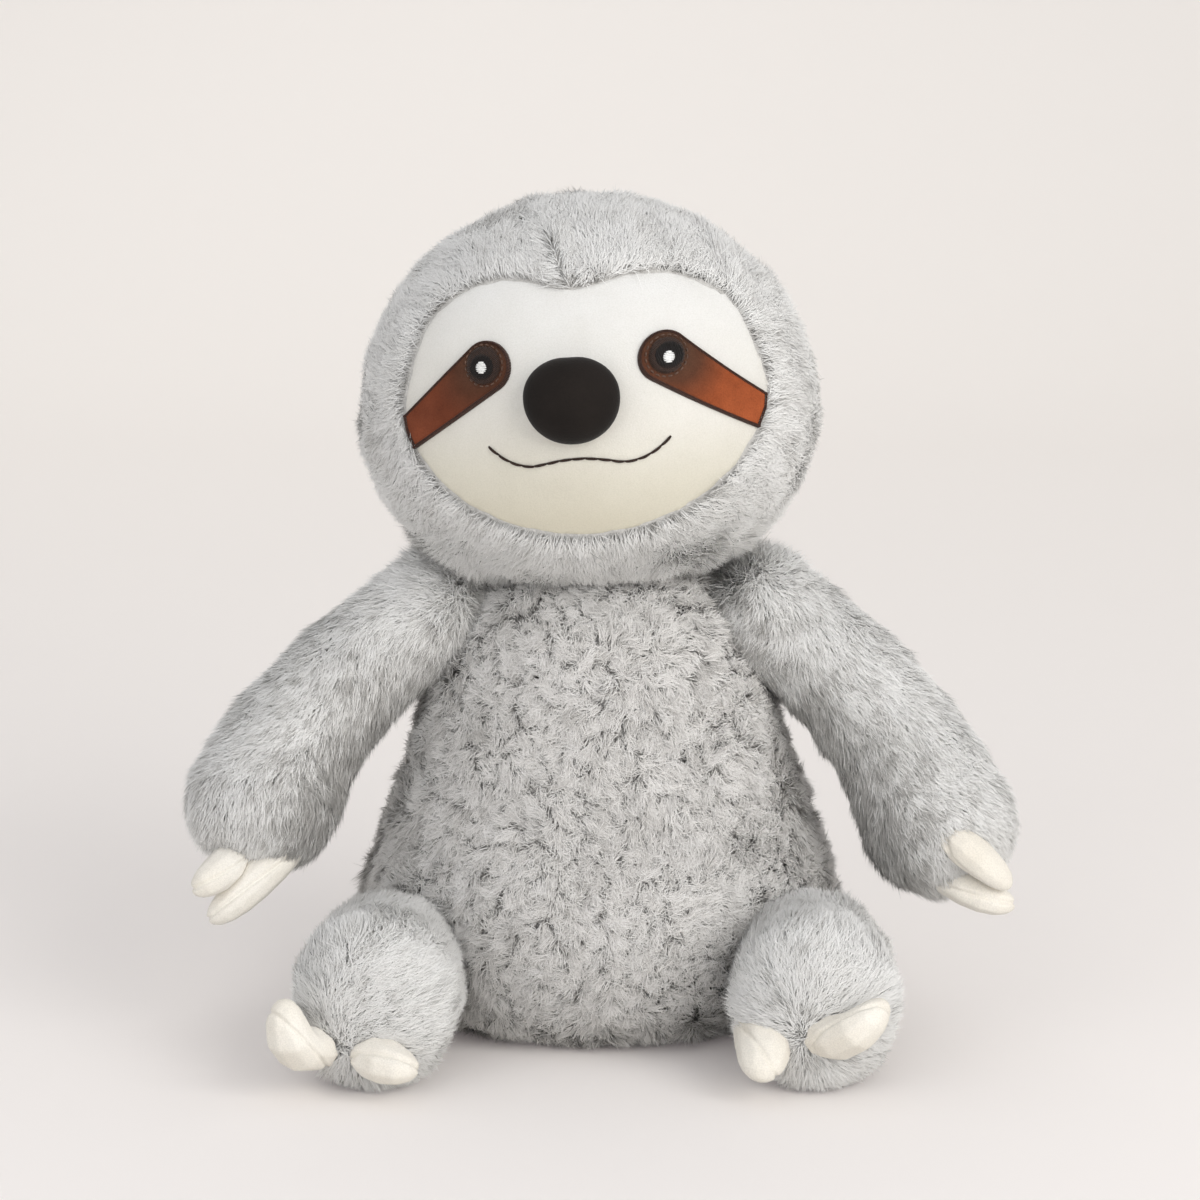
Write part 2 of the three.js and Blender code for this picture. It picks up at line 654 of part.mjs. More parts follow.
function pouch(margin) {
  const [radius, half] = [POUCH_WIDTH / 2 + margin, POUCH_HEIGHT / 2 + margin];
  const geometry = new THREE.SphereGeometry(1, LINING_SIDES, LINING_RINGS).rotateX(Math.PI / 2);
  geometry.scale(radius, (radius * (TORSO_FRONT_DEPTH + TORSO_BACK_DEPTH)) / TORSO_WIDTH, half);
  return solidOf(geometry.translate(0, 0, SKIN_THICKNESS - POUCH_SINK + POUCH_HEIGHT / 2));
}

function torsoPieces() {
  const group = new THREE.Group();
  const tools = torsoTools();
  const floor = slab(-OVERRUN, 0);
  const skin = torsoForm(0, TORSO_SIDES, TORSO_RINGS)
    .subtract(torsoForm(SKIN_THICKNESS, LINING_SIDES, LINING_RINGS)).subtract(tools).subtract(floor);
  const filling = torsoForm(SKIN_THICKNESS + GAP, LINING_SIDES, LINING_RINGS).subtract(tools);
  const stuffing = filling.subtract(pouch(GAP));
  group.add(meshOf('torso_skin', skin, greyPlush));
  group.add(meshOf('torso_stuffing', stuffing, whiteFibre));
  group.add(meshOf('seat_pouch', filling.intersect(pouch(0)), pelletCloth));
  return group;
}

// The whole toy

const sloth = new THREE.Group();
sloth.add(torsoPieces());
sloth.add(headPieces());
for (const [name, side] of [['left', 1], ['right', -1]]) {
  sloth.add(limbPieces('arm', name, ARMS[name], side, shoulderPlace(side)));
  sloth.add(limbPieces('leg', name, LEGS[name], side, hipPlace(side)));
}

export default sloth;
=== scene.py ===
"""Looks of the stuffed sloth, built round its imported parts. Metres, Z up; the toy faces -Y."""

import json
import math

import bpy
import numpy as np
from mathutils import Matrix, Vector
from mathutils.bvhtree import BVHTree
from mathutils.kdtree import KDTree


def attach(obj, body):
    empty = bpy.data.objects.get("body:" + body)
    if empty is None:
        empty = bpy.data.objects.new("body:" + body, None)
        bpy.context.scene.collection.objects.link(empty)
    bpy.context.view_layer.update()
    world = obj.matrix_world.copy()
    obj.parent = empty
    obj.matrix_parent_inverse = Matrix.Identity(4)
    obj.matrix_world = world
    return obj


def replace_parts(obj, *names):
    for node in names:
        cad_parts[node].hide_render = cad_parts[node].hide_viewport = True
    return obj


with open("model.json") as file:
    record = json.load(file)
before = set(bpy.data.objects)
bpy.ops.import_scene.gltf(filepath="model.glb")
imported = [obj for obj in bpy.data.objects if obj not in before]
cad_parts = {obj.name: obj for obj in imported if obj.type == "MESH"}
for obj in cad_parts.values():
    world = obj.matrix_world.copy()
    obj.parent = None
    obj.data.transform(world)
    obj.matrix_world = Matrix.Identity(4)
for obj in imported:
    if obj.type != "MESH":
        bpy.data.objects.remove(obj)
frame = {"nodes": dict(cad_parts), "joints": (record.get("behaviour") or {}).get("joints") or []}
NODES = frame["nodes"]
JOINTS = {joint["name"]: joint for joint in frame["joints"]}
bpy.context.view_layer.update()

# Camera, worked out from the photograph's perspective
CAMERA_DISTANCE = 1.0
CAMERA_HEIGHT = 0.300
CAMERA_PITCH = math.radians(10.2)
SENSOR_WIDTH = 0.036
VIEW_WIDTH_AT_DISTANCE = 0.3312

# Backdrop: a floor that bends up into a wall
BACKDROP_HALF_WIDTH = 6
BACKDROP_FRONT = -6
BACKDROP_BEND_START = 1.2
BACKDROP_BEND_RADIUS = 0.8
BACKDROP_TOP = 3.0
BACKDROP_BEND_STEPS = 12

# Fur: strands and tufts to a square metre, and how far the backing lies inside the form
STRANDS_PER_AREA = 8.0e6
TUFTS_PER_AREA = 2.5e5
STRANDS_PER_PIECE = 60000
STRAND_WIDTH = 0.00029
STRAND_STATIONS = (0.0, 0.5)
BACKING_INSET = 0.0008
FLOOR_CLEARANCE = 0.0003
FORM_VOXEL = 0.002
CLAW_VOXEL = 0.0007

# How each coat lies: its pile's length, how steeply it rises, how it is combed, swirls and scatters,
# and how far its strands gather in tufts
SMOOTH_COAT = {
    "pile": 0.0052, "rise": 0.50, "order": 1.0, "swirl": 0.40, "scatter": 0.35, "pull": (0.05, 0.50),
}
TUFTED_COAT = {
    "pile": 0.0056, "rise": 0.56, "order": 0.45, "swirl": 0.60, "scatter": 0.75, "pull": (0.30, 0.90),
}

# Wavelengths of a coat's swirls and of its changes in length, rise and tone, and how far tips stray
SWIRL_WAVE = 0.03
LENGTH_WAVE = 0.012
RISE_WAVE = 0.009
TONE_WAVE = 0.02
TIP_SCATTER = 0.0005

# The creases between the shoulders, the neck and the head, where fur stands up: places and reaches
CREASE_ACROSS = 0.038
CREASE_HEIGHT = 0.133
CREASE_HALF_WIDTH = 0.014
CREASE_HALF_HEIGHT = 0.010

# How far fur keeps from a sewn seam and from a claw, and the deepest that one form lies in another
SEAM_MARGIN = 0.0002
CLAW_MARGIN = 0.0013
SEATED_DEPTH = 0.03
WAY_OUT = Vector((0.36, 0.48, 0.80))

# Head
HEAD_TURN = math.radians(-7)
FACE_ANGLES = 144
FACE_RINGS = 56
FACE_MIDDLE = Vector((0.003, 0.0505))
FACE_REACH = 0.075
FACE_STEP = 0.0004
FACE_EDGE_GAP = 0.0006
FACE_SMOOTHING = 6
FACE_THICKNESS = 0.0015
SEAM_REACH = 0.0026
APPLIQUE_POINTS = 96
APPLIQUE_EDGE = 0.0006
NOSE_SQUARENESS = 2.08
NOSE_DENT = 0.025
NOSE_BANDS = 48
NOSE_SIDES = 72

# The seam pressed round each claw
CLAW_SEAM_DEPTH = 0.0007
CLAW_SEAM_WIDTH = 0.0006

# Sewing: how far the patches and the eyes' layers stand up, the mouth's backstitches, and satin threads
EYE_HEIGHT = 0.0010
IRIS_HEIGHT = EYE_HEIGHT + 0.0003
PUPIL_HEIGHT = EYE_HEIGHT + 0.0006
HIGHLIGHT_HEIGHT = EYE_HEIGHT + 0.0009
STITCH_LENGTH = 0.0034
STITCH_GAP = 0.0001
STITCH_RADIUS = 0.00042
SATIN_RADIUS = 0.00023
SATIN_SPACING = 0.00040
BORDER_WIDTH = 0.0009
RING_RADIUS = 0.0052
RING_STEP = 0.0016
THREAD_SIDES = 6
MOUTH_POINTS = 24

# Colours and noise scales that several materials share
WHITE = (1, 1, 1)
NAP_SCALE = 2600
# Browns of the eye patches' cheek ends, one per side: the left is lighter, painted light where the key lamp
# falls
CHEEK_BROWNS_WITH_PAINTED_LIGHT = {"left": (0.33, 0.080, 0.026), "right": (0.175, 0.046, 0.020)}


# Camera, floor and light


def link(obj):
    bpy.context.scene.collection.objects.link(obj)
    return obj


def add_camera():
    data = bpy.data.cameras.new("camera")
    data.sensor_width = SENSOR_WIDTH * 1000
    data.lens = data.sensor_width * CAMERA_DISTANCE / VIEW_WIDTH_AT_DISTANCE
    camera = link(bpy.data.objects.new("camera", data))
    camera.location = (0, -CAMERA_DISTANCE, CAMERA_HEIGHT)
    camera.rotation_euler = (math.radians(90) - CAMERA_PITCH, 0, 0)
    bpy.context.scene.camera = camera


def add_area_light(name, place, target, size, power, colour):
    data = bpy.data.lights.new(name, "AREA")
    data.shape = "DISK"
    data.size = size
    data.energy = power
    data.color = colour
    lamp = link(bpy.data.objects.new(name, data))
    lamp.location = place
    lamp.rotation_euler = (Vector(target) - Vector(place)).to_track_quat("-Z", "Y").to_euler()


def add_lights():
    """A soft key at the right, a weaker fill at the left and a weak lamp behind."""
    middle = (0, 0, 0.1)
    add_area_light("key", (0.95, -1.2, 0.75), middle, 1.2, 15.5, (1, 0.985, 0.96))
    add_area_light("fill", (-0.7, -1.4, 0.6), middle, 1.4, 6.5, (0.97, 0.98, 1))
    add_area_light("back", (-0.2, 1.3, 1.2), middle, 1.6, 3.5, (1, 0.99, 0.97))


def add_world():
    """Grey light from all round, and a paler wall where the camera sees past the backdrop."""
    world = bpy.data.worlds.new("studio")
    bpy.context.scene.world = world
    world.use_nodes = True
    tree = world.node_tree
    background = tree.nodes["Background"]
    path = tree.nodes.new("ShaderNodeLightPath")
    sky = tree.nodes.new("ShaderNodeMix")
    sky.data_type = "RGBA"
    sky.inputs[6].default_value = (0.600, 0.605, 0.62, 1)
    sky.inputs[7].default_value = (0.80, 0.765, 0.725, 1)
    tree.links.new(path.outputs["Is Camera Ray"], sky.inputs[0])
    tree.links.new(sky.outputs[2], background.inputs["Color"])
    background.inputs["Strength"].default_value = 1


def add_backdrop(material):
    """A floor that curves up into a wall far behind the toy."""
    start, radius = BACKDROP_BEND_START, BACKDROP_BEND_RADIUS
    profile = [(BACKDROP_FRONT, 0.0), (start, 0.0)]
    for step in range(1, BACKDROP_BEND_STEPS + 1):
        angle = math.radians(90) * step / BACKDROP_BEND_STEPS
        profile.append((start + radius * math.sin(angle), radius * (1 - math.cos(angle))))
    profile.append((start + radius, BACKDROP_TOP))
    vertices = [(x, y, z) for y, z in profile for x in (-BACKDROP_HALF_WIDTH, BACKDROP_HALF_WIDTH)]
    faces = [(2 * at, 2 * at + 1, 2 * at + 3, 2 * at + 2) for at in range(len(profile) - 1)]
    mesh = bpy.data.meshes.new("backdrop")
    mesh.from_pydata(vertices, [], faces)
    mesh.polygons.foreach_set("use_smooth", [True] * len(faces))
    mesh.materials.append(material)
    link(bpy.data.objects.new("backdrop", mesh))


# Materials


class Nodes:
    """Short calls for a material's node tree."""

    def __init__(self, name, roughness=0.9, sheen=0.0, sheen_roughness=0.5):
        self.material = bpy.data.materials.new(name)
        self.material.use_nodes = True
        self.tree = self.material.node_tree
        self.shader = self.tree.nodes["Principled BSDF"]
        self.shader.inputs["Roughness"].default_value = roughness
        self.shader.inputs["Sheen Weight"].default_value = sheen
        self.shader.inputs["Sheen Roughness"].default_value = sheen_roughness
        self.shader.inputs["Specular IOR Level"].default_value = 0.2

    def add(self, kind, **values):
        node = self.tree.nodes.new(kind)
        for key, value in values.items():
            if hasattr(node, key):
                setattr(node, key, value)
            else:
                node.inputs[key.replace("_", " ")].default_value = value
        return node

    def join(self, source, target):
        self.tree.links.new(source, target)

    def place(self):
        """Where a point lies in its object, in metres."""
        return self.add("ShaderNodeTexCoord").outputs["Object"]

    def part(self, vector, axis):
        """One coordinate of a vector."""
        parts = self.add("ShaderNodeSeparateXYZ")
        self.join(vector, parts.inputs["Vector"])
        return parts.outputs[axis]

    def share(self, value, low, high):
        """How far a value has come from a low bound to a high one, from 0 to 1."""
        reach = self.add("ShaderNodeMapRange")
        self.join(value, reach.inputs["Value"])
        reach.inputs["From Min"].default_value = low
        reach.inputs["From Max"].default_value = high
        return reach.outputs["Result"]

    def noise(self, scale, detail=2.0, roughness=0.5):
        noise = self.add("ShaderNodeTexNoise")
        noise.inputs["Scale"].default_value = scale
        noise.inputs["Detail"].default_value = detail
        noise.inputs["Roughness"].default_value = roughness
        self.join(self.place(), noise.inputs["Vector"])
        return noise.outputs["Fac"]

    def ramp(self, factor, stops):
        ramp = self.add("ShaderNodeValToRGB")
        elements = ramp.color_ramp.elements
        while len(elements) < len(stops):
            elements.new(0.5)
        for element, (at, colour) in zip(elements, stops):
            element.position = at
            element.color = (*colour, 1)
        self.join(factor, ramp.inputs["Fac"])
        return ramp.outputs["Color"]

    def mix(self, factor, first, second, blend="MIX"):
        mix = self.add("ShaderNodeMix", data_type="RGBA", blend_type=blend)
        for value, socket in ((factor, mix.inputs[0]), (first, mix.inputs[6]), (second, mix.inputs[7])):
            if isinstance(value, bpy.types.NodeSocket):
                self.join(value, socket)
            elif isinstance(value, (int, float)):
                socket.default_value = value
            else:
                socket.default_value = (*value, 1)
        return mix.outputs[2]

    def shaded(self, colour, noise, dark, full):
        """A colour made darker where a noise is low, and left as it is where the noise is above a level."""
        return self.mix(1.0, colour, self.ramp(noise, [(0.3, dark), (full, WHITE)]), "MULTIPLY")

    def colour(self, value):
        self.join(value, self.shader.inputs["Base Color"])

    def bump(self, height, distance, strength=1.0):
        bump = self.add("ShaderNodeBump")
        bump.inputs["Distance"].default_value = distance
        bump.inputs["Strength"].default_value = strength
        self.join(height, bump.inputs["Height"])
        self.join(bump.outputs["Normal"], self.shader.inputs["Normal"])


def fur_material(name, along_stops, tone_stops):
    """Plush. Across its map lies a strand's own tone, and up the map its root to its tip; the colour
    darkens toward the root as painted shade of the deep pile.
    """
    nodes = Nodes(name, roughness=0.85, sheen=0.12)
    place = nodes.add("ShaderNodeUVMap", uv_map="OFBake").outputs["UV"]
    along = nodes.ramp(nodes.part(place, "Y"), along_stops)
    tone = nodes.ramp(nodes.part(place, "X"), tone_stops)
    nodes.colour(nodes.mix(1.0, along, tone, "MULTIPLY"))
    return nodes.material


def pale_plush():
    """Plush of head, arms and legs: pale down to its roots with a little painted shade toward them, and a
    few darker strands.
    """
    along = [
        (0.0, (0.60, 0.59, 0.57)), (0.35, (0.75, 0.745, 0.73)),
        (0.7, (0.85, 0.845, 0.83)), (1.0, (0.90, 0.895, 0.88)),
    ]
    tones = [
        (0.0, (0.50, 0.49, 0.475)), (0.25, (0.89, 0.885, 0.875)),
        (0.5, (0.98, 0.98, 0.975)), (1.0, WHITE),
    ]
    return fur_material("pale_plush", along, tones)


def marbled_plush():
    """Plush of the body: dark roots that show between its tufts, partly the pile's own darker roots and
    partly painted shade deep in the pile.
    """
    along = [
        (0.0, (0.23, 0.22, 0.205)), (0.35, (0.56, 0.545, 0.525)),
        (0.7, (0.85, 0.835, 0.815)), (1.0, (0.93, 0.92, 0.90)),
    ]
    tones = [(0.0, (0.60, 0.59, 0.575)), (0.5, (0.94, 0.935, 0.925)), (1.0, WHITE)]
    return fur_material("marbled_plush", along, tones)


def backing_material():
    """Woven cloth that the plush stands on."""
    nodes = Nodes("plush_backing", roughness=0.95)
    nodes.colour(nodes.ramp(nodes.noise(700, 3), [(0.3, (0.42, 0.41, 0.39)), (0.7, (0.56, 0.55, 0.53))]))
    nodes.bump(nodes.noise(900, 2), 0.0004)
    return nodes.material


def velour_material(name, dark, light, sheen, nap=0.00012):
    """Short velour: a fine nap, broad brushed patches and a soft sheen."""
    nodes = Nodes(name, roughness=0.9, sheen=sheen, sheen_roughness=0.4)
    brushed = nodes.ramp(nodes.noise(45, 2), [(0.3, dark), (0.7, light)])
    nodes.colour(nodes.shaded(brushed, nodes.noise(NAP_SCALE, 2), (0.88, 0.88, 0.88), 0.62))
    nodes.bump(nodes.noise(2200, 3), nap)
    return nodes.material


def face_material():
    """Velour of the face: white above and cream toward the chin. The cream is the velour's own; its
    darkening toward the chin is painted shade under the light from above.
    """
    nodes = Nodes("face_velour", roughness=0.9, sheen=0.2, sheen_roughness=0.4)
    height = nodes.share(nodes.part(nodes.place(), "Z"), 0.148, 0.212)
    shade = nodes.ramp(height, [
        (0.0, (0.64, 0.60, 0.49)), (0.22, (0.68, 0.65, 0.56)),
        (0.45, (0.72, 0.70, 0.65)), (1.0, (0.75, 0.745, 0.73)),
    ])
    brushed = nodes.shaded(shade, nodes.noise(60, 3), (0.955, 0.95, 0.94), 0.7)
    nodes.colour(nodes.shaded(brushed, nodes.noise(NAP_SCALE, 2), (0.93, 0.93, 0.92), 0.62))
    nodes.bump(nodes.noise(2400, 3), 0.0001)
    return nodes.material


def thread_material(name, colour, roughness=0.6, shadow=0.5):
    """Spun thread, with painted shade between its fibres."""
    nodes = Nodes(name, roughness=roughness, sheen=0.1)
    dark = tuple(shadow * part for part in colour)
    nodes.colour(nodes.ramp(nodes.noise(2200, 2), [(0.35, dark), (0.65, colour)]))
    nodes.bump(nodes.noise(5000, 1), 0.00008)
    return nodes.material


def fibre_material():
    """Loose white fibre of the stuffing."""
    nodes = Nodes("white_fibre", roughness=1.0, sheen=0.2)
    nodes.colour(nodes.ramp(nodes.noise(500, 4), [(0.3, (0.74, 0.73, 0.71)), (0.7, (0.9, 0.9, 0.88))]))
    nodes.bump(nodes.noise(800, 4), 0.0006)
    return nodes.material


def floor_material():
    """Pale paper, which the camera sees a little lighter than the lamps make it."""
    nodes = Nodes("pale_floor", roughness=0.9)
    depth = nodes.share(nodes.part(nodes.place(), "Y"), -0.3, 1.4)
    glow = nodes.ramp(depth, [(0.0, (0.07, 0.06, 0.065)), (1.0, (0.13, 0.115, 0.10))])
    path = nodes.add("ShaderNodeLightPath")
    nodes.shader.inputs["Base Color"].default_value = (0.84, 0.81, 0.78, 1)
    nodes.join(glow, nodes.shader.inputs["Emission Color"])
    nodes.join(path.outputs["Is Camera Ray"], nodes.shader.inputs["Emission Strength"])
    return nodes.material


def patch_material(name, eye, cheek):
    """Brown velour, greyer and darker round the eye and redder toward the cheek. The cheek's brown is given
    per side, and the left one is lighter: painted light.
    """
    nodes = Nodes(name, roughness=0.9, sheen=0.05, sheen_roughness=0.4)
    away = nodes.add("ShaderNodeVectorMath", operation="DISTANCE")
    nodes.join(nodes.place(), away.inputs[0])
    away.inputs[1].default_value = eye
    end = tuple(1.25 * part for part in cheek)
    shade = nodes.ramp(nodes.share(away.outputs["Value"], 0.004, 0.028), [
        (0.0, (0.080, 0.040, 0.024)), (0.2, (0.110, 0.042, 0.022)), (0.55, cheek), (1.0, end),
    ])
    brushed = nodes.shaded(shade, nodes.noise(160, 3), (0.72, 0.70, 0.68), 0.7)
    nodes.colour(nodes.shaded(brushed, nodes.noise(NAP_SCALE, 2), (0.80, 0.78, 0.76), 0.62))
    nodes.bump(nodes.noise(2200, 3), 0.00015)
    return nodes.material


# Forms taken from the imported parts


def applied(obj):
    """Turns an object's modifiers into its mesh."""
    bpy.context.view_layer.update()
    graph = bpy.context.evaluated_depsgraph_get()
    mesh = bpy.data.meshes.new_from_object(obj.evaluated_get(graph))
    obj.modifiers.clear()
    obj.data = mesh
    mesh.name = obj.name
    return obj


def outer_shell(mesh):
    """Drops every loose part of a mesh but the one with the most vertices."""
    count = len(mesh.vertices)
    edges = np.empty(2 * len(mesh.edges), np.int64)
    mesh.edges.foreach_get("vertices", edges)
    edges = edges.reshape(-1, 2)
    label = np.arange(count)
    while True:
        lowest = np.minimum(label[edges[:, 0]], label[edges[:, 1]])
        before = label.copy()
        np.minimum.at(label, edges[:, 0], lowest)
        np.minimum.at(label, edges[:, 1], lowest)
        label = label[label]
        if (label == before).all():
            break
    names, sizes = np.unique(label, return_counts=True)
    keep = label == names[sizes.argmax()]
    faces = [tuple(face.vertices) for face in mesh.polygons if keep[face.vertices[0]]]
    places = corners_of(mesh)[keep]
    new_number = np.cumsum(keep) - 1
    shell = bpy.data.meshes.new(mesh.name)
    shell.from_pydata(places.tolist(), [], [tuple(int(new_number[v]) for v in face) for face in faces])
    shell.polygons.foreach_set("use_smooth", [True] * len(faces))
    return shell


def corners_of(mesh):
    places = np.empty(3 * len(mesh.vertices), np.float32)
    mesh.vertices.foreach_get("co", places)
    return places.reshape(-1, 3).astype(float)


def normals_of(mesh):
    normals = np.empty(3 * len(mesh.vertices), np.float32)
    mesh.vertex_normals.foreach_get("vector", normals)
    return normals.reshape(-1, 3).astype(float)


def set_corners(mesh, places):
    mesh.vertices.foreach_set("co", places.astype(np.float32).ravel())
    mesh.update()


def add_piece(mesh, material, body):
    """A piece that shows a mesh and rides on a body."""
    mesh.materials.append(material)
    piece = link(bpy.data.objects.new(mesh.name, mesh))
    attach(piece, body)
    return piece


def grown_form(name, node_names, voxel, smoothing, inset):
    """One smooth closed mesh round CAD nodes, sunk by an inset and kept above the floor."""
    vertices = []
    faces = []
    for node in node_names:
        first = len(vertices)
        mesh = NODES[node].data
        vertices += corners_of(mesh).tolist()
        faces += [tuple(first + v for v in face.vertices) for face in mesh.polygons]
    mesh = bpy.data.meshes.new(name)
    mesh.from_pydata(vertices, [], faces)
    obj = link(bpy.data.objects.new(name, mesh))
    weld = obj.modifiers.new("weld", "WELD")
    weld.merge_threshold = 1e-6
    remesh = obj.modifiers.new("remesh", "REMESH")
    remesh.mode = "VOXEL"
    remesh.voxel_size = voxel
    smooth = obj.modifiers.new("smooth", "SMOOTH")
    smooth.factor = 0.5
    smooth.iterations = smoothing
    applied(obj)
    obj.data = outer_shell(obj.data)
    places = corners_of(obj.data) - inset * normals_of(obj.data)
    places[:, 2] = np.maximum(places[:, 2], inset)
    set_corners(obj.data, places)
    return obj


def tree_of(*objects):
    """One search tree of several objects' faces."""
    vertices = []
    faces = []
    for obj in objects:
        first = len(vertices)
        vertices += corners_of(obj.data).tolist()
        faces += [tuple(first + v for v in face.vertices) for face in obj.data.polygons]
    return BVHTree.FromPolygons(vertices, faces)


# Fur


def waves(points, wavelength, count, rng):
    """A smooth random field with values of about -1 to 1 at each point."""
    directions = rng.normal(size=(count, 3))
    directions /= np.linalg.norm(directions, axis=1)[:, None]
    lengths = wavelength * rng.uniform(0.7, 1.5, count)
    phases = rng.uniform(0, 2 * math.pi, count)
    angles = points @ (directions * (2 * math.pi / lengths)[:, None]).T + phases
    return np.sin(angles).sum(1) / math.sqrt(count / 2) / 1.6


def unit(vectors):
    return vectors / np.maximum(np.linalg.norm(vectors, axis=1), 1e-9)[:, None]


def on_surface(mesh, density, rng):
    """Random points on a mesh, even by area, with their smooth normals."""
    mesh.calc_loop_triangles()
    corners = np.empty(3 * len(mesh.loop_triangles), np.int32)
    mesh.loop_triangles.foreach_get("vertices", corners)
    corners = corners.reshape(-1, 3)
    places = corners_of(mesh)
    normals = normals_of(mesh)
    a, b, c = (places[corners[:, at]] for at in range(3))
    areas = np.linalg.norm(np.cross(b - a, c - a), axis=1) / 2
    count = int(areas.sum() * density)
    chosen = corners[rng.choice(len(corners), count, p=areas / areas.sum())]
    one = np.sqrt(rng.uniform(size=count))
    two = rng.uniform(size=count)
    shares = np.stack([1 - one, one * (1 - two), one * two], axis=1)
    points = (places[chosen] * shares[:, :, None]).sum(1)
    return points, unit((normals[chosen] * shares[:, :, None]).sum(1))


def flattened(vectors, normals):
    """The part of each vector that lies along the surface, at length 1."""
    return unit(vectors - (vectors * normals).sum(1)[:, None] * normals)


def blade_mesh(name, roots, tips, normals, stems, widths, tones, rng):
    """Tapered blades on bent courses, each with a map of its tone across and its length upward."""
    count = len(roots)
    bends = roots + stems
    sideways = unit(np.cross(unit(tips - bends), normals + 0.35 * rng.normal(size=(count, 3))))
    size = 2 * len(STRAND_STATIONS) + 1
    vertices = np.empty((count, size, 3))
    maps = np.empty((count, size, 2))
    shading = np.empty((count, size, 3))
    for level, share in enumerate(STRAND_STATIONS):
        middle = (1 - share) ** 2 * roots + 2 * share * (1 - share) * bends + share**2 * tips
        half = widths[:, None] / 2 * (1 - 0.4 * share)
        for side, sign in enumerate((-1, 1)):
            vertices[:, 2 * level + side] = middle + sign * half * sideways
            maps[:, 2 * level + side, 0] = tones + sign * 0.004
            maps[:, 2 * level + side, 1] = 0.02 + 0.96 * share
            shading[:, 2 * level + side] = unit(normals + 0.45 * sign * sideways)
    vertices[:, -1] = tips
    maps[:, -1] = np.stack([tones, np.full(count, 0.98)], axis=1)
    shading[:, -1] = normals
    vertices[:, :, 2] = np.maximum(vertices[:, :, 2], FLOOR_CLEARANCE)
    corners = np.array([0, 1, 3, 2, 2, 3, 4])
    loops = (np.arange(count)[:, None] * size + corners).ravel()
    starts = (np.arange(count)[:, None] * len(corners) + np.array([0, 4])).ravel()
    mesh = bpy.data.meshes.new(name)
    mesh.vertices.add(size * count)
    mesh.vertices.foreach_set("co", vertices.astype(np.float32).ravel())
    mesh.loops.add(len(loops))
    mesh.loops.foreach_set("vertex_index", loops.astype(np.int32))
    mesh.polygons.add(len(starts))
    mesh.polygons.foreach_set("loop_start", starts.astype(np.int32))
    mesh.update(calc_edges=True)
    layer = mesh.uv_layers.new(name="OFBake")
    layer.data.foreach_set("uv", maps.reshape(-1, 2)[loops].astype(np.float32).ravel())
    mesh.polygons.foreach_set("use_smooth", np.ones(len(starts), bool))
    mesh.normals_split_custom_set_from_vertices(shading.reshape(-1, 3).astype(np.float32))
    return mesh


def inside(tree, point):
    """Whether a point lies inside a closed form: the way out of it crosses an odd number of walls."""
    crossed = 0
    start = point
    while True:
        place, _, _, _ = tree.ray_cast(start, WAY_OUT)
        if place is None:
            return crossed % 2 == 1
        crossed += 1
        start = place + 1e-5 * WAY_OUT


def clear_of(tree, points, distance, depth):
    """Which points lie at least a distance from closed forms and not inside them, down to a depth."""
    free = np.ones(len(points), bool)
    for at, point in enumerate(points):
        _, _, _, away = tree.find_nearest(point, depth)
        free[at] = away is None or (away > distance and not inside(tree, Vector(point)))
    return free


def nearest_of(places, points):
    """The number of the nearest place to each point."""
    tree = KDTree(len(places))
    for at, place in enumerate(places):
        tree.insert(place, at)
    tree.balance()
    return np.array([tree.find(point)[1] for point in points])


def crease(points):
    """From 0 to 1 toward the creases between the shoulders, the neck and the head."""
    across = (np.abs(points[:, 0]) - CREASE_ACROSS) / CREASE_HALF_WIDTH
    above = (points[:, 2] - CREASE_HEIGHT) / CREASE_HALF_HEIGHT
    return np.exp(-(across**2) - above**2)[:, None]


